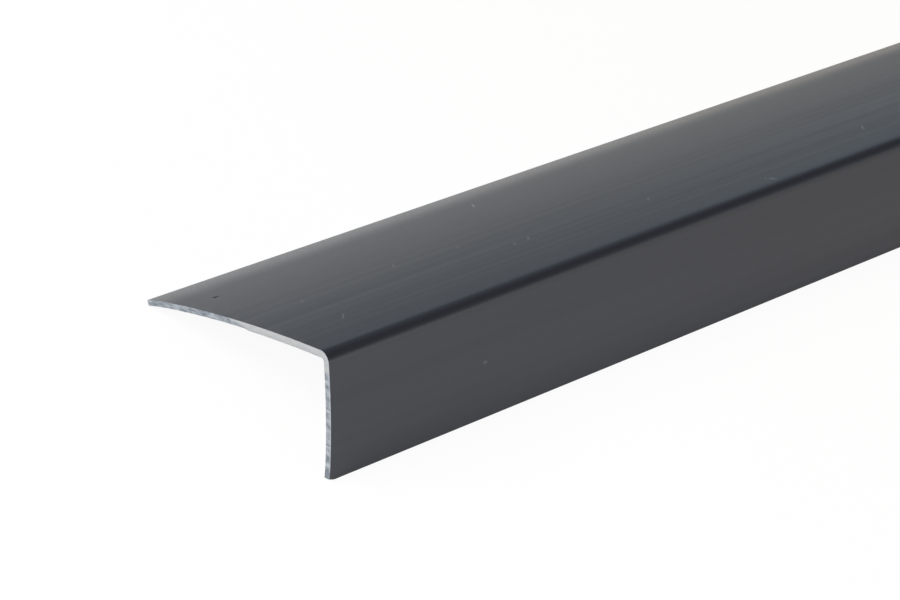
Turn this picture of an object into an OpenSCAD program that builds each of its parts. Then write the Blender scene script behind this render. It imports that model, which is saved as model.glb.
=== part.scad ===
// Unequal PVC corner angle, one extruded length of thin wall. Both legs are slightly crowned, and
// fall away a little more towards their free edges, so that these press against what they cover.
// It lies as it rests on a floor: corner up, on its two free edges, with its length along X.
// Millimetres, +Z up. The origin is on the floor, under the middle of the part.

/* [Section] */
// Width of the long leg, from the outside corner to its free edge
long_leg = 70; // [40:1:120]
// Width of the short leg, from the outside corner to its free edge
short_leg = 30; // [20:1:60]
// Wall thickness of both legs and of the bend
wall = 1.6; // [1:0.1:2.4]

/* [Corner] */
// Angle between the legs where they leave the bend
corner_angle = 83; // [75:1:95]
// Radius on the inside of the bend
bend_inside_r = 0.6; // [0.3:0.1:3]
// Radius on each side of the free edges
edge_r = 0.4; // [0.2:0.05:0.45]

/* [Crown] */
// Height of the long leg's crown over its width
long_crown = 1.3; // [0.4:0.1:3]
// Height of the short leg's crown over its width
short_crown = 0.7; // [0.1:0.1:1.5]

/* [Fall at the free edges] */
// Width at the long leg's free edge that falls away
long_fall_width = 8; // [4:1:15]
// Angle that it turns there beyond its crown
long_fall = 3; // [0:0.5:5]
// Width at the short leg's free edge that falls away
short_fall_width = 5; // [3:1:10]
// Angle that it turns there beyond its crown
short_fall = 2.5; // [0:0.5:5]

/* [Stock] */
// Length that the stock is sold in
stock_length = 1000; // [200:50:3000]

/* [Hidden] */
surface_colour = [0.27, 0.28, 0.30];
// Strips along a leg for each millimetre of its width, and steps round the bend and an edge
leg_strips_per_mm = 0.35;
bend_steps = 12;
edge_steps = 4;

// The bend turns through this angle, and its tangents reach this far from the outside corner
bend_sweep = 180 - corner_angle;
bend_r = bend_inside_r + wall;
bend_reach = bend_r * tan(bend_sweep / 2);

// Radius of an arc that rises by a crown over a width
function crown_radius(width, crown) = width * width / (8 * crown) + crown / 2;

// Turn in degrees of an arc of this length, and the radius of one that makes such a turn
function arc_turn(length, radius) = length / radius * 180 / PI;
function arc_radius(length, turn) = length / turn * 180 / PI;

function polar(radius, angle) = radius * [cos(angle), sin(angle)];

// Points of an arc. An end that the next or the last arc gives is skipped.
function arc(centre, radius, from, to, steps, skip_first = 0, skip_last = 0) =
    [for (i = [skip_first : steps - skip_last])
        centre + polar(radius, from + (to - from) * i / steps)];

function strips(width) = ceil(width * leg_strips_per_mm);

// The bend's centre is the section's own zero. The long leg leaves the bend where its outside
// faces angle 0 and turns back from there, and the short leg goes on from the bend's other end.
// Each leg's crown touches the bend's outside, and its fall goes on from the crown's end.
long_r = crown_radius(long_leg, long_crown);
long_centre = polar(bend_r - long_r, 0);
long_crown_width = long_leg - bend_reach - long_fall_width;
long_crown_end = -arc_turn(long_crown_width, long_r);
long_fall_turn = arc_turn(long_fall_width - edge_r, long_r) + long_fall;
long_fall_r = arc_radius(long_fall_width - edge_r, long_fall_turn);
long_fall_centre = long_centre + polar(long_r - long_fall_r, long_crown_end);
long_end = long_crown_end - long_fall_turn;

short_r = crown_radius(short_leg, short_crown);
short_centre = polar(bend_r - short_r, bend_sweep);
short_crown_width = short_leg - bend_reach - short_fall_width;
short_crown_end = bend_sweep + arc_turn(short_crown_width, short_r);
short_fall_turn = arc_turn(short_fall_width - edge_r, short_r) + short_fall;
short_fall_r = arc_radius(short_fall_width - edge_r, short_fall_turn);
short_fall_centre = short_centre + polar(short_r - short_fall_r, short_crown_end);
short_end = short_crown_end + short_fall_turn;

// Middle of an edge's rounding, at this depth under the outside face
function long_edge(depth) = long_fall_centre + polar(long_fall_r - depth, long_end);
function short_edge(depth) = short_fall_centre + polar(short_fall_r - depth, short_end);

// The outline runs along the outside from the long leg's edge over the bend to the short leg's
// edge, and comes back along the inside. The bend and the edges' roundings give the legs' ends.
outside = concat(
    arc(long_fall_centre, long_fall_r, long_end, long_crown_end, strips(long_fall_width), 1),
    arc(long_centre, long_r, long_crown_end, 0, strips(long_crown_width), 1, 1),
    arc([0, 0], bend_r, 0, bend_sweep, bend_steps),
    arc(short_centre, short_r, bend_sweep, short_crown_end, strips(short_crown_width), 1, 1),
    arc(short_fall_centre, short_fall_r, short_crown_end, short_end,
        strips(short_fall_width), 0, 1)
);
short_free_edge = concat(
    arc(short_edge(edge_r), edge_r, short_end, short_end + 90, edge_steps),
    arc(short_edge(wall - edge_r), edge_r, short_end + 90, short_end + 180, edge_steps)
);
inside = concat(
    arc(short_fall_centre, short_fall_r - wall, short_end, short_crown_end,
        strips(short_fall_width), 1),
    arc(short_centre, short_r - wall, short_crown_end, bend_sweep, strips(short_crown_width), 1, 1),
    arc([0, 0], bend_inside_r, bend_sweep, 0, bend_steps),
    arc(long_centre, long_r - wall, 0, long_crown_end, strips(long_crown_width), 1, 1),
    arc(long_fall_centre, long_fall_r - wall, long_crown_end, long_end,
        strips(long_fall_width), 0, 1)
);
long_free_edge = concat(
    arc(long_edge(wall - edge_r), edge_r, long_end + 180, long_end + 270, edge_steps),
    arc(long_edge(edge_r), edge_r, long_end - 90, long_end, edge_steps)
);

// Both inside edges touch the floor, so the line between their roundings is level
edge_to_edge = long_edge(wall - edge_r) - short_edge(wall - edge_r);
lean = atan2(edge_to_edge[1], edge_to_edge[0]);

function laid(points) = [
    for (p = points) [p[0] * cos(lean) + p[1] * sin(lean), p[1] * cos(lean) - p[0] * sin(lean)]
];

section = laid(concat(outside, short_free_edge, inside, long_free_edge));
across = [for (p = section) p[0]];
heights = [for (p = section) p[1]];

// The whole length, laid along X on the floor
module corner_angle_profile() {
    color(surface_colour)
    translate([-stock_length / 2, 0, 0])
    rotate([90, 0, 90])
    linear_extrude(height = stock_length)
    translate([-(min(across) + max(across)) / 2, -min(heights)])
    polygon(section);
}

corner_angle_profile();
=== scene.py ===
"""Unequal PVC corner angle in anthracite grey, lying on its two free edges on a white floor.

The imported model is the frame. One dressed piece stands for its only node: the same section, lofted
with finer steps along and round, with broken sawn edges and the small marks of handled stock.
Metres, +Z up, the length along X. The photograph is 900 by 600.
"""
import math

import bmesh
import bpy
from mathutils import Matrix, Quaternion, Vector, noise


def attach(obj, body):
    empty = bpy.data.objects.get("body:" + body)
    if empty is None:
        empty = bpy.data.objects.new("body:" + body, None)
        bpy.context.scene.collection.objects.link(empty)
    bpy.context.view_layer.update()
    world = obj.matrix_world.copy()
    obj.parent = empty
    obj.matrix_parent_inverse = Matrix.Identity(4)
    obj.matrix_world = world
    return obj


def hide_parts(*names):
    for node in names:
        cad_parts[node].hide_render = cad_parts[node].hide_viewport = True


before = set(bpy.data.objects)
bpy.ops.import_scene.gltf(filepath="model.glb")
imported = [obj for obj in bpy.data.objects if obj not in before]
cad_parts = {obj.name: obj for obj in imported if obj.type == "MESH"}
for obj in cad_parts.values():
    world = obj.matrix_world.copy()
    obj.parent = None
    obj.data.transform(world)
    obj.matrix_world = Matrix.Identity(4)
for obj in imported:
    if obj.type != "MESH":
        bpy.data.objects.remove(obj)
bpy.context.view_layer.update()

# The section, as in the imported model
LONG_LEG = 0.070
SHORT_LEG = 0.030
WALL = 0.0016
CORNER = math.radians(83)
BEND_INSIDE_R = 0.0006
EDGE_R = 0.0004
LONG_CROWN = 0.0013
SHORT_CROWN = 0.0007
LONG_FALL_WIDTH = 0.008
LONG_FALL = math.radians(3)
SHORT_FALL_WIDTH = 0.005
SHORT_FALL = math.radians(2.5)
LENGTH = 1.0

# Steps round the section: (distance from the bend's end, spacing up to there)
LONG_CROWN_BANDS = [(0.047, 0.0011), (0.057, 0.0003), (1, 0.0009)]
SHORT_CROWN_BANDS = [(1, 0.0008)]
FALL_STEPS = 12
BEND_STEPS = 16
EDGE_STEPS = 5

# Steps along the length: (distance from the visible end, spacing up to there). The rings of the
# far end's broken arris come after these.
STATION_BANDS = [
    (0.0020, 0.0002),
    (0.0052, 0.0010),
    (0.0090, 0.0002),
    (0.0300, 0.0030),
    (0.9980, 0.0080),
]

# Faces that meet at more than this angle keep a sharp edge between them
SHARP_ANGLE = math.radians(35)

# Sawn ends: how much of each arris is gone, how much that varies, and how quickly round the
# section. An arris has three rings, and the middle one has lost this share of the break.
EDGE_BREAK = 0.00010
EDGE_BREAK_VARIES = 0.00006
EDGE_BREAK_SCALE = 900
EDGE_BREAK_APART = 7.3
ARRIS_RINGS = 3
ARRIS_MIDDLE = 0.3

# The worn corner of the short leg at the visible end. It dies away along the length by a power,
# and the inside has only a share of it.
CHIP_LENGTH = 0.0017
CHIP_HEIGHT = 0.00072
CHIP_REACH = 0.0040
CHIP_POWER = 1.7
CHIP_INSIDE = 0.2
SHORT_INSIDE_EDGE_R = 0.00015

# What the saw tore off the long leg's inside at the visible end. It starts between these distances
# from the bend and runs to the free edge.
TORN_FROM = (0.0280, 0.0295)
TORN_LENGTH = 0.0008
TORN_DEPTH = 0.00030
TORN_VARIES = 0.5
TORN_SCALE = 500
TORN_APART = 3.1

# The dent on the long leg: (distance from the visible end, distance from the bend)
DENT = (0.0069, 0.0516)
DENT_RADIUS = 0.00065
DENT_DEPTH = 0.00020

# Pale marks: distance from the visible end, distance from the bend, half length, half width,
# turn in degrees from the direction of the length, and strength. The core, a share of a mark's
# size, is evenly pale.
MARKS = [
    (0.0778, 0.0534, 0.0024, 0.00030, 64, 1.0),
    (0.0393, 0.0316, 0.0012, 0.00025, 54, 0.6),
    (0.0139, 0.0139, 0.0024, 0.00025, 54, 0.5),
    (0.0144, 0.0296, 0.0010, 0.00040, 54, 0.3),
    (0.0544, 0.0284, 0.0012, 0.00045, 54, 0.3),
    (0.0626, 0.0192, 0.0012, 0.00040, 54, 0.4),
    (0.0666, 0.0194, 0.0016, 0.00050, 54, 0.4),
    (0.0988, 0.0167, 0.0012, 0.00045, 54, 0.45),
    (0.1631, 0.0131, 0.0020, 0.00045, 54, 0.5),
    (0.1232, 0.0048, 0.0012, 0.00030, 25, 0.35),
    (0.1240, 0.0034, 0.0016, 0.00055, -80, 0.55),
    (0.0388, -0.0150, 0.0007, 0.00060, 0, 0.25),
]
MARK_CORE = 0.4

# Camera, from a fit of the section and the long edges to the photograph
CAMERA_PLACE = Vector((-0.72777, -0.31498, 0.30969))
CAMERA_AIM = Vector((-0.45640, -0.01427, 0.01654))
CAMERA_ROLL = math.radians(7.466)
CAMERA_LENS = 95.478
CAMERA_NEAR = 0.01
SENSOR_WIDTH = 36.0

# Colours of the part, linear, and how much they vary
ANTHRACITE = (0.0200, 0.0207, 0.0270)
ANTHRACITE_VARIES = 0.10
SCUFFED = (0.16, 0.17, 0.18)
SAWN_PLAIN = (0.38, 0.385, 0.395)
SAWN_PLAIN_VARIES = 0.05
SAWN_DARK = (0.13, 0.15, 0.18)
SAWN_LIGHT = (0.36, 0.385, 0.42)

# Patterns of the extruded faces: their steps in a metre round the section and along the length,
# their detail, and how far apart they lie in the noise, so that no two are alike
BAND_SCALES = (260, 2.5)
BAND_DETAIL = 3.0
BAND_RANGE = (0.35, 0.65)
LINE_SCALES = (480, 5.0)
LINE_DETAIL = 1.0
LINE_APART = 3.0
GRAIN_SCALES = (2500, 2500)
GRAIN_DETAIL = 2.0
NOISE_RANGE = (0.3, 0.7)

# Gloss of the extruded faces. The strip along the long leg's free edge is shinier.
SURFACE_IOR = 1.45
ROUGHNESS = 0.38
ROUGHNESS_VARIES = 0.03
LIP_ROUGHNESS = 0.285
LIP = (0.0560, 0.0655)

# The bend's colour is a little darker by painted shade, and the bend is a little rougher than the
# legs, most of all in its core
BEND_PAINTED_SHADE = 0.60
BEND_ROUGHNESS = 0.48
BEND_HALF_WIDTH = 0.0022
BEND_MIDDLE = -0.0008
BEND_CORE = 0.3

# Die lines along the length: their depth, how much they change the gloss, and their share on the
# short leg and at the lip, with the stretches where that share changes. The grain is finer and
# the same all over.
LINE_DEPTH = 0.000012
LINE_ROUGHNESS = 0.13
SHORT_LEG_LINES = 0.2
LINES_GROW = (-0.004, 0.004)
LIP_LINES = 0.15
LINES_FADE = (0.028, 0.045)
GRAIN_DEPTH = 0.000004

# Where the sawn ends turn from plain to smeared, as distances from the bend's middle. On the long
# leg it starts this much nearer on the inside than on the outside. On the short leg the outside has
# a pale rim of painted highlight, as shares of the wall's depth, and the foot is darker.
SMEARED_LONG = (0.0335, 0.0365)
SMEARED_SLANT = 0.0065
SMEARED_SHORT = (-0.0036, -0.0046)
RIM_HIGHLIGHT = (0.05, 0.30)
RIM_HIGHLIGHT_STRENGTH = 0.45
FOOT = (-0.0262, -0.0280)
FOOT_STRENGTH = 0.8
SAWN_ROUGHNESS = 0.62
SAWN_DEPTH = 0.00003

# The saw's streaks: their direction across the part and up, their steps in a metre along and
# across that direction, and the broad ones' share of the mix
STREAK_DIRECTION = (-0.97, 0.24)
BROAD_SCALES = (260, 900)
FINE_SCALES = (500, 2400)
FINE_APART = 4.0
STREAK_DETAIL = 2.0
STREAK_RANGE = (0.40, 0.62)
BROAD_SHARE = 0.55

# The lit floor is white beside the visible end and painted warmer further along, as painted warm
# light for the faces to reflect
FLOOR_WHITE = (0.88, 0.88, 0.88)
FLOOR_PAINTED_WARM_LIGHT = (0.80, 0.71, 0.60)
FLOOR_TURNS = (-0.44, -0.24)
FLOOR_HALF = 12.0

# How much of the floor is plain white instead of lit, as the camera and as reflections see it
FLOOR_SEEN = 0.94
FLOOR_REFLECTED = 0.30

# Lamps, all aimed at the part's middle: name, place, size, power in watts and colour. The main
# one is slightly warm, and the one behind the part is cool like the room.
WARM = (1.0, 0.973, 0.935)
WHITE = (1.0, 1.0, 1.0)
COOL = (0.78, 0.90, 1.0)
LAMPS = [
    ("key", (-2.2, 0.6, 2.2), (2.0, 2.0), 115, WARM),
    ("glow", (0.9, -2.3, 0.3), (3.0, 0.6), 5, WHITE),
    ("fill", (-0.3, -2.4, 0.2), (1.2, 0.4), 36, WHITE),
    ("back", (1.9, 1.3, 1.3), (2.0, 1.0), 6, COOL),
]
LAMP_AIM = Vector((0, 0, 0))

# The room's light by the height of its direction, as the sine of its angle over the horizon
ROOM = [
    (0.00, (0.29, 0.47, 0.61)),
    (0.20, (0.18, 0.28, 0.36)),
    (0.50, (0.085, 0.115, 0.145)),
    (1.00, (0.04, 0.045, 0.05)),
]

# A Mix node's sockets for colours
MIX_A = 6
MIX_B = 7
MIX_RESULT = 2


# The section

def polar(radius, angle):
    return Vector((radius * math.cos(angle), radius * math.sin(angle)))


def crown_radius(width, crown):
    return width * width / (8 * crown) + crown / 2


def banded(length, bands):
    """Shares of a length, from 0 to 1, with the spacing of each band."""
    places = [0.0]
    for end, spacing in bands:
        start = places[-1]
        end = min(end, length)
        steps = max(1, round((end - start) / spacing))
        places += [start + (end - start) * (i + 1) / steps for i in range(steps)]
    return [place / length for place in places]


def even(steps):
    return [i / steps for i in range(steps + 1)]


class Leg:
    """A leg's crown, which starts at the bend, and its fall, which ends at the free edge."""

    def __init__(self, width, crown, fall_width, fall, start, side, bend_r, bend_reach, bands):
        self.side = side
        self.start = start
        self.crown_r = crown_radius(width, crown)
        self.crown_width = width - bend_reach - fall_width
        self.shares = banded(self.crown_width, bands)
        self.fall_width = fall_width - EDGE_R
        self.centre = polar(bend_r - self.crown_r, start)
        self.crown_end = start + side * self.crown_width / self.crown_r
        turn = self.fall_width / self.crown_r + fall
        self.fall_r = self.fall_width / turn
        self.fall_centre = self.centre + polar(self.crown_r - self.fall_r, self.crown_end)
        self.end = self.crown_end + side * turn

    def edge(self, depth):
        """The point at this depth under the end of the outside face."""
        return self.fall_centre + polar(self.fall_r - depth, self.end)

    def face(self, depth):
        """(point, outward angle, distance from the bend) from the bend to the free edge."""
        found = []
        for share in self.shares[:-1]:
            angle = self.start + (self.crown_end - self.start) * share
            point = self.centre + polar(self.crown_r - depth, angle)
            found.append((point, angle, self.crown_width * share))
        for share in even(FALL_STEPS):
            angle = self.crown_end + (self.end - self.crown_end) * share
            point = self.fall_centre + polar(self.fall_r - depth, angle)
            found.append((point, angle, self.crown_width + self.fall_width * share))
        return found


class Section:
    """Points round the section, with their outward normals, their distances from the bend's
    middle and their depths as shares of the wall."""

    def __init__(self):
        self.sweep = math.pi - CORNER
        self.bend_r = BEND_INSIDE_R + WALL
        self.half_bend = self.bend_r * self.sweep / 2
        reach = self.bend_r * math.tan(self.sweep / 2)
        long_sizes = (LONG_LEG, LONG_CROWN, LONG_FALL_WIDTH, LONG_FALL, 0.0, -1)
        short_sizes = (SHORT_LEG, SHORT_CROWN, SHORT_FALL_WIDTH, SHORT_FALL, self.sweep, 1)
        self.long = Leg(*long_sizes, self.bend_r, reach, LONG_CROWN_BANDS)
        self.short = Leg(*short_sizes, self.bend_r, reach, SHORT_CROWN_BANDS)
        self.points = []
        self.normals = []
        self.around = []
        self.depths = []
        outer = self.wall_line(0.0)
        inner = self.wall_line(WALL)
        self.outer_count = len(outer)
        self.add(outer, 1)
        self.add(self.edge_line(self.short, SHORT_INSIDE_EDGE_R), 1)
        self.add(list(reversed(inner)), -1)
        self.add(self.edge_line(self.long, EDGE_R), 1)
        self.lay_on_floor()

    def add(self, found, facing):
        for point, angle, around, depth in found:
            self.points.append(point)
            self.normals.append(polar(facing, angle))
            self.around.append(around)
            self.depths.append(depth / WALL)

    def leg_line(self, leg, depth):
        """A leg's wall at this depth, with the distances counted from the bend's middle: over
        zero on the long leg and under zero on the short leg."""
        line = []
        for point, angle, away in leg.face(depth):
            line.append((point, angle, -leg.side * (away + self.half_bend), depth))
        return line

    def wall_line(self, depth):
        """A line along the wall at this depth, from the long leg's edge to the short leg's."""
        long_line = list(reversed(self.leg_line(self.long, depth)))
        bend = []
        for share in even(BEND_STEPS)[1:-1]:
            angle = self.sweep * share
            around = self.half_bend * (1 - 2 * share)
            bend.append((polar(self.bend_r - depth, angle), angle, around, depth))
        return long_line + bend + self.leg_line(self.short, depth)

    def edge_line(self, leg, inside_r):
        """The rounded free edge without its first and last points, which the faces give."""
        side = leg.side
        around = side * -(leg.crown_width + leg.fall_width + self.half_bend)
        quarter = side * math.pi / 2
        level = leg.end + quarter
        outside = (EDGE_R, EDGE_R, leg.end)
        inside = (inside_r, WALL - inside_r, level)
        found = []
        for radius, depth, start in (outside, inside):
            centre = leg.edge(depth) + polar(EDGE_R - radius, level)
            for share in even(EDGE_STEPS):
                turned = start + quarter * share
                under = depth - radius * math.cos(turned - leg.end)
                found.append((centre + polar(radius, turned), turned, around, under))
        found = found[1:-1]
        return found if side > 0 else list(reversed(found))

    def lay_on_floor(self):
        """Turns the section so that it rests on both its edges, and centres it on the floor."""
        span = self.long.edge(WALL - EDGE_R) - self.short.edge(WALL - EDGE_R)
        lean = math.atan2(span.y, span.x)
        cos, sin = math.cos(lean), math.sin(lean)

        def laid(v):
            return Vector((v.x * cos + v.y * sin, v.y * cos - v.x * sin))

        points = [laid(point) for point in self.points]
        self.normals = [laid(normal) for normal in self.normals]
        across = [point.x for point in points]
        shift = Vector(((min(across) + max(across)) / 2, min(point.y for point in points)))
        self.points = [point - shift for point in points]


# The profile's mesh

def stations():
    """Distances from the visible end of the rings between the broken arrises of both ends."""
    last = STATION_BANDS[-1][0]
    return [share * last for share in banded(last, STATION_BANDS)[1:]]


def uneven(around, scale, apart):
    """Noise from -1 to 1 round the section."""
    return noise.noise(Vector((around * scale, apart, 0.0)))


def edge_break(around, end):
    """How much of the arris is gone at this place round the section."""
    varies = uneven(around, EDGE_BREAK_SCALE, end * EDGE_BREAK_APART)
    return EDGE_BREAK + EDGE_BREAK_VARIES * varies


def chip(place, around, depth, short_edge):
    """How far a point is pushed up the short leg, where its corner at the visible end is worn."""
    along = max(0.0, 1 - place / CHIP_LENGTH)
    across = max(0.0, 1 - (around - short_edge) / CHIP_REACH)
    side = 1 - (1 - CHIP_INSIDE) * depth
    return CHIP_HEIGHT * along ** CHIP_POWER * across * side


def torn(place, around, depth):
    """How much of the wall's inner half the saw tore off beside the visible end."""
    start, full = TORN_FROM
    share = min(1.0, max(0.0, (around - start) / (full - start)))
    along = max(0.0, 1 - place / TORN_LENGTH)
    varies = 1 + TORN_VARIES * uneven(around, TORN_SCALE, TORN_APART)
    return TORN_DEPTH * share * along * varies * max(0.0, 2 * depth - 1)


def dent(place, around):
    """Depth of the small dent beside the visible end."""
    reach = math.hypot(place - DENT[0], around - DENT[1]) / DENT_RADIUS
    return DENT_DEPTH * math.exp(-reach * reach)


def ring(section, place, inset):
    """Points of the section at a distance from the visible end, each moved in by inset(around)."""
    short_edge = min(section.around)
    found = []
    for i, (point, normal) in enumerate(zip(section.points, section.normals)):
        around = section.around[i]
        depth = section.depths[i]
        gone = inset(around) + torn(place, around, depth)
        if i < section.outer_count:
            gone += dent(place, around)
        up = chip(place, around, depth, short_edge)
        across = point.x - normal.x * gone
        found.append((place - LENGTH / 2, across, point.y - normal.y * gone + up))
    return found


def full_ring(section, place):
    return ring(section, place, lambda around: 0.0)


def end_rings(section, place, inward, end):
    """Rings of a broken arris, from the sawn face to the full section."""
    part_way = place + inward * EDGE_BREAK * ARRIS_MIDDLE
    sawn = ring(section, place, lambda around: edge_break(around, end))
    middle = ring(section, part_way, lambda around: ARRIS_MIDDLE * edge_break(around, end))
    return [sawn, middle, full_ring(section, place + inward * EDGE_BREAK)]


def all_rings(section):
    rings = end_rings(section, 0.0, 1, 0)
    rings += [full_ring(section, place) for place in stations()]
    rings += reversed(end_rings(section, LENGTH, -1, 1))
    return rings


def wall_faces(ring_count, count):
    """Quads from each ring to the next, and the material of each: 0 extruded, 1 sawn."""
    faces = []
    slots = []
    for k in range(ring_count - 1):
        sawn = k < ARRIS_RINGS - 1 or k >= ring_count - ARRIS_RINGS
        for i in range(count):
            j = (i + 1) % count
            a, b = k * count, (k + 1) * count
            faces.append((a + i, b + i, b + j, a + j))
            slots.append(1 if sawn else 0)
    return faces, slots


def cap_faces(section):
    """Quads across the wall, and one face at each rounded free edge."""
    outer = section.outer_count
    count = len(section.points)
    inner = outer + 2 * EDGE_STEPS
    quads = [(i, i + 1, inner + outer - i - 2, inner + outer - i - 1) for i in range(outer - 1)]
    quads.append(tuple(range(outer - 1, inner + 1)))
    quads.append(tuple(range(inner + outer - 1, count)) + (0,))
    return quads


def mark_points(mesh, section, ring_count):
    """Writes each point's distance from the bend and its share of the wall's depth."""
    around = mesh.attributes.new("around", "FLOAT", "POINT")
    around.data.foreach_set("value", section.around * ring_count)
    depth = mesh.attributes.new("depth", "FLOAT", "POINT")
    depth.data.foreach_set("value", section.depths * ring_count)


def profile_mesh(section):
    count = len(section.points)
    rings = all_rings(section)
    faces, slots = wall_faces(len(rings), count)
    for k in (0, len(rings) - 1):
        for face in cap_faces(section):
            faces.append(tuple(k * count + i for i in face))
            slots.append(1)
    mesh = bpy.data.meshes.new("dressed_profile")
    mesh.from_pydata([point for found in rings for point in found], [], faces)
    mesh.polygons.foreach_set("material_index", slots)
    mark_points(mesh, section, len(rings))
    return mesh


def finish_mesh(mesh):
    """Faces outwards, smooth along the faces and sharp at the sawn ends."""
    shape = bmesh.new()
    shape.from_mesh(mesh)
    bmesh.ops.recalc_face_normals(shape, faces=shape.faces)
    shape.to_mesh(mesh)
    shape.free()
    mesh.shade_smooth()
    mesh.set_sharp_from_angle(angle=SHARP_ANGLE)


# Materials

class Nodes:
    """Short ways to add and join a material's nodes."""

    def __init__(self, name):
        self.material = bpy.data.materials.new(name)
        self.material.use_nodes = True
        self.tree = self.material.node_tree
        self.tree.nodes.clear()
        self.out = self.tree.nodes.new("ShaderNodeOutputMaterial")

    def add(self, kind, **values):
        node = self.tree.nodes.new("ShaderNode" + kind)
        for key, value in values.items():
            setattr(node, key, value)
        return node

    def join(self, source, target):
        self.tree.links.new(source, target)

    def put(self, value, socket):
        """Joins a socket to another, or gives it a number or a colour."""
        if hasattr(value, "is_output"):
            self.join(value, socket)
        elif isinstance(value, tuple):
            socket.default_value = (*value, 1)
        else:
            socket.default_value = value

    def math(self, operation, a, b=0.0, clamp=False):
        node = self.add("Math", operation=operation, use_clamp=clamp)
        self.put(a, node.inputs[0])
        self.put(b, node.inputs[1])
        return node.outputs[0]

    def attribute(self, name):
        return self.add("Attribute", attribute_name=name).outputs["Fac"]

    def object_axes(self):
        split = self.add("SeparateXYZ")
        self.join(self.add("TexCoord").outputs["Object"], split.inputs[0])
        return split.outputs

    def vector(self, x, y, z=0.0):
        node = self.add("CombineXYZ")
        self.put(x, node.inputs[0])
        self.put(y, node.inputs[1])
        self.put(z, node.inputs[2])
        return node.outputs[0]

    def pattern(self, a, b, scales, detail, apart=0.0):
        """Noise over two distances, with its steps in a metre of each."""
        scaled_a = self.math("MULTIPLY", a, scales[0])
        scaled_b = self.math("MULTIPLY", b, scales[1])
        node = self.add("TexNoise")
        self.join(self.vector(scaled_a, scaled_b, apart), node.inputs["Vector"])
        node.inputs["Scale"].default_value = 1.0
        node.inputs["Detail"].default_value = detail
        return node.outputs["Fac"]

    def spread(self, value, low, high, out_low=0.0, out_high=1.0, smooth=False):
        node = self.add("MapRange", interpolation_type="SMOOTHSTEP" if smooth else "LINEAR")
        self.join(value, node.inputs["Value"])
        node.inputs["From Min"].default_value = low
        node.inputs["From Max"].default_value = high
        node.inputs["To Min"].default_value = out_low
        node.inputs["To Max"].default_value = out_high
        return node.outputs["Result"]

    def blend(self, share, a, b):
        node = self.add("Mix", data_type="RGBA")
        self.put(share, node.inputs["Factor"])
        self.put(a, node.inputs[MIX_A])
        self.put(b, node.inputs[MIX_B])
        return node.outputs[MIX_RESULT]

    def bump(self, height, distance, under=None):
        node = self.add("Bump")
        node.inputs["Distance"].default_value = distance
        self.join(height, node.inputs["Height"])
        if under is not None:
            self.join(under, node.inputs["Normal"])
        return node.outputs[0]


def scaled(colour, factor):
    return tuple(channel * factor for channel in colour)


def varied(nodes, share, colour, varies):
    """A colour from a little darker to a little lighter."""
    return nodes.blend(share, scaled(colour, 1 - varies), scaled(colour, 1 + varies))


def bend_share(nodes, around):
    """1 in the bend's core, 0 beyond the bend."""
    away = nodes.math("ABSOLUTE", nodes.math("SUBTRACT", around, BEND_MIDDLE))
    return nodes.spread(away, BEND_CORE * BEND_HALF_WIDTH, BEND_HALF_WIDTH, 1.0, 0.0, smooth=True)


def pale_mark(nodes, spot, mark):
    """How pale a spot (distance from the visible end, distance from the bend) is by a mark."""
    along, around, half_length, half_width, turn, strength = mark
    place = nodes.add("Mapping", vector_type="TEXTURE")
    nodes.join(spot, place.inputs["Vector"])
    place.inputs["Location"].default_value = (along, around, 0)
    place.inputs["Rotation"].default_value = (0, 0, math.radians(turn))
    place.inputs["Scale"].default_value = (half_length, half_width, 1)
    away = nodes.add("VectorMath", operation="LENGTH")
    nodes.join(place.outputs[0], away.inputs[0])
    return nodes.spread(away.outputs["Value"], MARK_CORE, 1.0, strength, 0.0, smooth=True)


def pale_marks(nodes, x, around):
    """How pale a spot is by all the marks, which are on the outside only."""
    spot = nodes.vector(nodes.math("ADD", x, LENGTH / 2), around)
    pale = pale_mark(nodes, spot, MARKS[0])
    for mark in MARKS[1:]:
        pale = nodes.math("MAXIMUM", pale, pale_mark(nodes, spot, mark))
    outside = nodes.math("LESS_THAN", nodes.attribute("depth"), 0.5)
    return nodes.math("MULTIPLY", pale, outside)


def surface_colour(nodes, x, around):
    """Anthracite in faint bands along the length, with painted shade on the bend and the pale marks.
    """
    bands = nodes.pattern(around, x, BAND_SCALES, BAND_DETAIL)
    tone = varied(nodes, nodes.spread(bands, *BAND_RANGE), ANTHRACITE, ANTHRACITE_VARIES)
    # Painted shade: the colour is darker on the bend, standing in for the dark line it reflects
    tone = nodes.blend(bend_share(nodes, around), tone, scaled(ANTHRACITE, BEND_PAINTED_SHADE))
    return nodes.blend(pale_marks(nodes, x, around), tone, SCUFFED)


def line_strength(nodes, around):
    """How strong the die lines are: weak on the short leg, full past the bend, weak at the lip."""
    grown = nodes.spread(around, *LINES_GROW, SHORT_LEG_LINES, 1.0)
    faded = nodes.spread(around, *LINES_FADE, 1.0, LIP_LINES, smooth=True)
    return nodes.math("MULTIPLY", grown, faded)


def surface_roughness(nodes, around, lines, strength, grain):
    """Satin, uneven by the grain and the die lines, shinier at the lip and duller on the bend."""
    changed = nodes.math("MULTIPLY", nodes.math("SUBTRACT", lines, 0.5), strength)
    changed = nodes.math("MULTIPLY", changed, LINE_ROUGHNESS)
    dullest = ROUGHNESS + ROUGHNESS_VARIES
    satin = nodes.spread(grain, *NOISE_RANGE, ROUGHNESS - ROUGHNESS_VARIES, dullest)
    satin = nodes.math("ADD", satin, changed)
    on_lip = nodes.spread(around, *LIP, 0.0, ROUGHNESS - LIP_ROUGHNESS, smooth=True)
    satin = nodes.math("SUBTRACT", satin, on_lip)
    on_bend = nodes.math("MULTIPLY", bend_share(nodes, around), BEND_ROUGHNESS - ROUGHNESS)
    return nodes.math("ADD", satin, on_bend)


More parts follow.
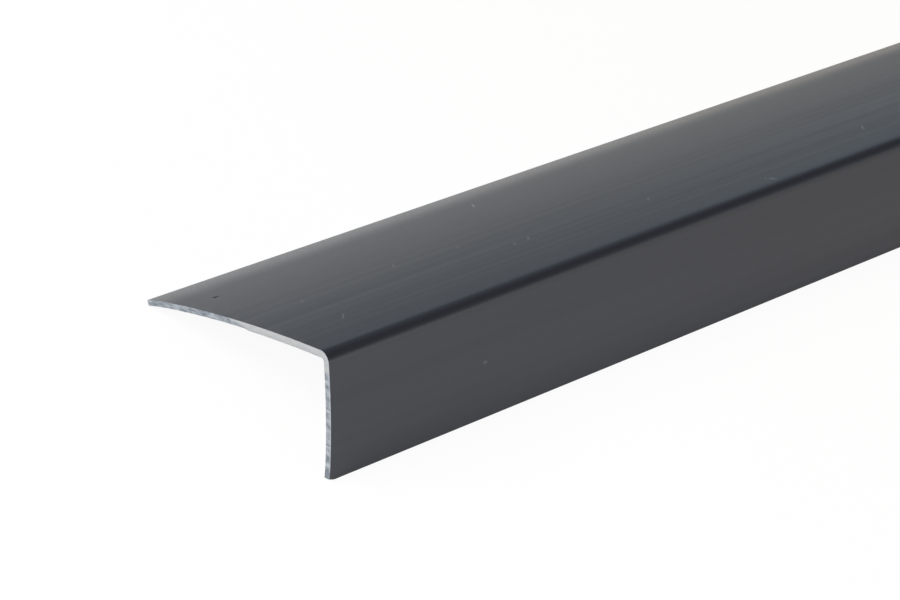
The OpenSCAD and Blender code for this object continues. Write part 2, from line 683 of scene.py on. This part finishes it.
def surface_material():
    """Satin extruded PVC."""
    nodes = Nodes("anthracite_pvc")
    shader = nodes.add("BsdfPrincipled")
    shader.inputs["IOR"].default_value = SURFACE_IOR
    x, _, _ = nodes.object_axes()
    around = nodes.attribute("around")
    lines = nodes.pattern(around, x, LINE_SCALES, LINE_DETAIL, LINE_APART)
    strength = line_strength(nodes, around)
    grain = nodes.pattern(around, x, GRAIN_SCALES, GRAIN_DETAIL)
    roughness = surface_roughness(nodes, around, lines, strength, grain)
    relief = nodes.bump(nodes.math("MULTIPLY", lines, strength), LINE_DEPTH)
    relief = nodes.bump(grain, GRAIN_DEPTH, relief)
    nodes.join(surface_colour(nodes, x, around), shader.inputs["Base Color"])
    nodes.join(roughness, shader.inputs["Roughness"])
    nodes.join(relief, shader.inputs["Normal"])
    nodes.join(shader.outputs[0], nodes.out.inputs["Surface"])
    return nodes.material


def saw_streaks(nodes):
    """The broad and the fine streaks that the saw left."""
    _, y, z = nodes.object_axes()
    sideways, up = STREAK_DIRECTION
    along = nodes.math("ADD", nodes.math("MULTIPLY", y, sideways), nodes.math("MULTIPLY", z, up))
    across = nodes.math("ADD", nodes.math("MULTIPLY", y, up), nodes.math("MULTIPLY", z, -sideways))
    broad = nodes.pattern(along, across, BROAD_SCALES, STREAK_DETAIL)
    fine = nodes.pattern(along, across, FINE_SCALES, STREAK_DETAIL, FINE_APART)
    return broad, fine


def smeared_colour(nodes, around, depth, streaks, on_short):
    """Bluish streaks, with the short leg's pale rim of painted highlight and darker foot."""
    colour = nodes.blend(nodes.spread(streaks, *STREAK_RANGE), SAWN_DARK, SAWN_LIGHT)
    # Painted highlight: the outer side of the short leg's sawn face is lighter in a rim along the
    # arris
    rim_highlight = nodes.spread(depth, *RIM_HIGHLIGHT, RIM_HIGHLIGHT_STRENGTH, 0.0, smooth=True)
    colour = nodes.blend(nodes.math("MULTIPLY", rim_highlight, on_short), colour, SAWN_LIGHT)
    foot = nodes.spread(around, *FOOT, 0.0, FOOT_STRENGTH, smooth=True)
    return nodes.blend(foot, colour, SAWN_DARK)


def sawn_material():
    """Sawn PVC: plain and pale round the bend, smeared into bluish streaks further out."""
    nodes = Nodes("sawn_pvc")
    shader = nodes.add("BsdfPrincipled")
    shader.inputs["Roughness"].default_value = SAWN_ROUGHNESS
    around = nodes.attribute("around")
    depth = nodes.attribute("depth")
    broad, fine = saw_streaks(nodes)
    broad_part = nodes.math("MULTIPLY", broad, BROAD_SHARE)
    streaks = nodes.math("ADD", broad_part, nodes.math("MULTIPLY", fine, 1 - BROAD_SHARE))
    slanted = nodes.math("ADD", around, nodes.math("MULTIPLY", depth, SMEARED_SLANT))
    on_long = nodes.spread(slanted, *SMEARED_LONG, smooth=True)
    on_short = nodes.spread(around, *SMEARED_SHORT, smooth=True)
    smeared = nodes.math("ADD", on_long, on_short, clamp=True)
    plain = varied(nodes, nodes.spread(fine, *NOISE_RANGE), SAWN_PLAIN, SAWN_PLAIN_VARIES)
    streaky = smeared_colour(nodes, around, depth, streaks, on_short)
    nodes.join(nodes.blend(smeared, plain, streaky), shader.inputs["Base Color"])
    nodes.join(nodes.bump(streaks, SAWN_DEPTH), shader.inputs["Normal"])
    nodes.join(shader.outputs[0], nodes.out.inputs["Surface"])
    return nodes.material


def floor_material():
    """A matt floor that the camera sees as mostly plain white, with a soft shadow left, and that
    reflections see as partly plain white."""
    nodes = Nodes("white_floor")
    matt = nodes.add("BsdfDiffuse")
    x, _, _ = nodes.object_axes()
    # Painted warm light: the floor's colour turns warm further along, for the faces' reflections
    colour = nodes.blend(nodes.spread(x, *FLOOR_TURNS), FLOOR_WHITE, FLOOR_PAINTED_WARM_LIGHT)
    nodes.join(colour, matt.inputs["Color"])
    white = nodes.add("Emission")
    rays = nodes.add("LightPath").outputs
    seen = nodes.math("MULTIPLY", rays["Is Camera Ray"], FLOOR_SEEN)
    mirrored = nodes.math("MAXIMUM", rays["Is Glossy Ray"], rays["Is Transmission Ray"])
    mirrored = nodes.math("MULTIPLY", mirrored, FLOOR_REFLECTED)
    mix = nodes.add("MixShader")
    nodes.join(nodes.math("MAXIMUM", seen, mirrored), mix.inputs["Fac"])
    nodes.join(matt.outputs[0], mix.inputs[1])
    nodes.join(white.outputs[0], mix.inputs[2])
    nodes.join(mix.outputs[0], nodes.out.inputs["Surface"])
    return nodes.material


# Floor, light and camera

def place_in_scene(name, data):
    thing = bpy.data.objects.new(name, data)
    bpy.context.scene.collection.objects.link(thing)
    return thing


def make_floor():
    mesh = bpy.data.meshes.new("floor")
    half = FLOOR_HALF
    corners = [(-half, -half, 0), (half, -half, 0), (half, half, 0), (-half, half, 0)]
    mesh.from_pydata(corners, [], [(0, 1, 2, 3)])
    mesh.materials.append(floor_material())
    floor = place_in_scene("floor", mesh)


def make_lamp(name, place, size, power, colour):
    light = bpy.data.lights.new(name, "AREA")
    light.color = colour
    light.shape = "RECTANGLE"
    light.size, light.size_y = size
    light.energy = power
    lamp = place_in_scene(name, light)
    lamp.location = place
    lamp.rotation_euler = (LAMP_AIM - Vector(place)).to_track_quat("-Z", "Y").to_euler()


def make_world():
    """A soft room: lighter and bluish near the horizon, dark overhead."""
    world = bpy.data.worlds.new("studio")
    world.use_nodes = True
    tree = world.node_tree
    split = tree.nodes.new("ShaderNodeSeparateXYZ")
    tree.links.new(tree.nodes.new("ShaderNodeTexCoord").outputs["Generated"], split.inputs[0])
    ramp = tree.nodes.new("ShaderNodeValToRGB")
    stops = ramp.color_ramp.elements
    for height, _ in ROOM[1:-1]:
        stops.new(height)
    for stop, (height, colour) in zip(stops, ROOM):
        stop.position = height
        stop.color = (*colour, 1)
    tree.links.new(split.outputs["Z"], ramp.inputs["Fac"])
    tree.links.new(ramp.outputs["Color"], tree.nodes["Background"].inputs["Color"])
    bpy.context.scene.world = world


def make_camera():
    data = bpy.data.cameras.new("camera")
    data.lens = CAMERA_LENS
    data.sensor_width = SENSOR_WIDTH
    data.clip_start = CAMERA_NEAR
    camera = place_in_scene("camera", data)
    camera.location = CAMERA_PLACE
    level = (CAMERA_AIM - CAMERA_PLACE).to_track_quat("-Z", "Y")
    camera.rotation_mode = "QUATERNION"
    camera.rotation_quaternion = level @ Quaternion((0, 0, 1), CAMERA_ROLL)
    bpy.context.scene.camera = camera


def make_profile():
    mesh = profile_mesh(Section())
    finish_mesh(mesh)
    mesh.materials.append(surface_material())
    mesh.materials.append(sawn_material())
    profile = place_in_scene("dressed_profile", mesh)
    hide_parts("corner_angle_profile")
    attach(profile, "root")


make_profile()
make_floor()
make_world()
for lamp in LAMPS:
    make_lamp(*lamp)
make_camera()
bpy.context.scene.view_settings.view_transform = "Standard"
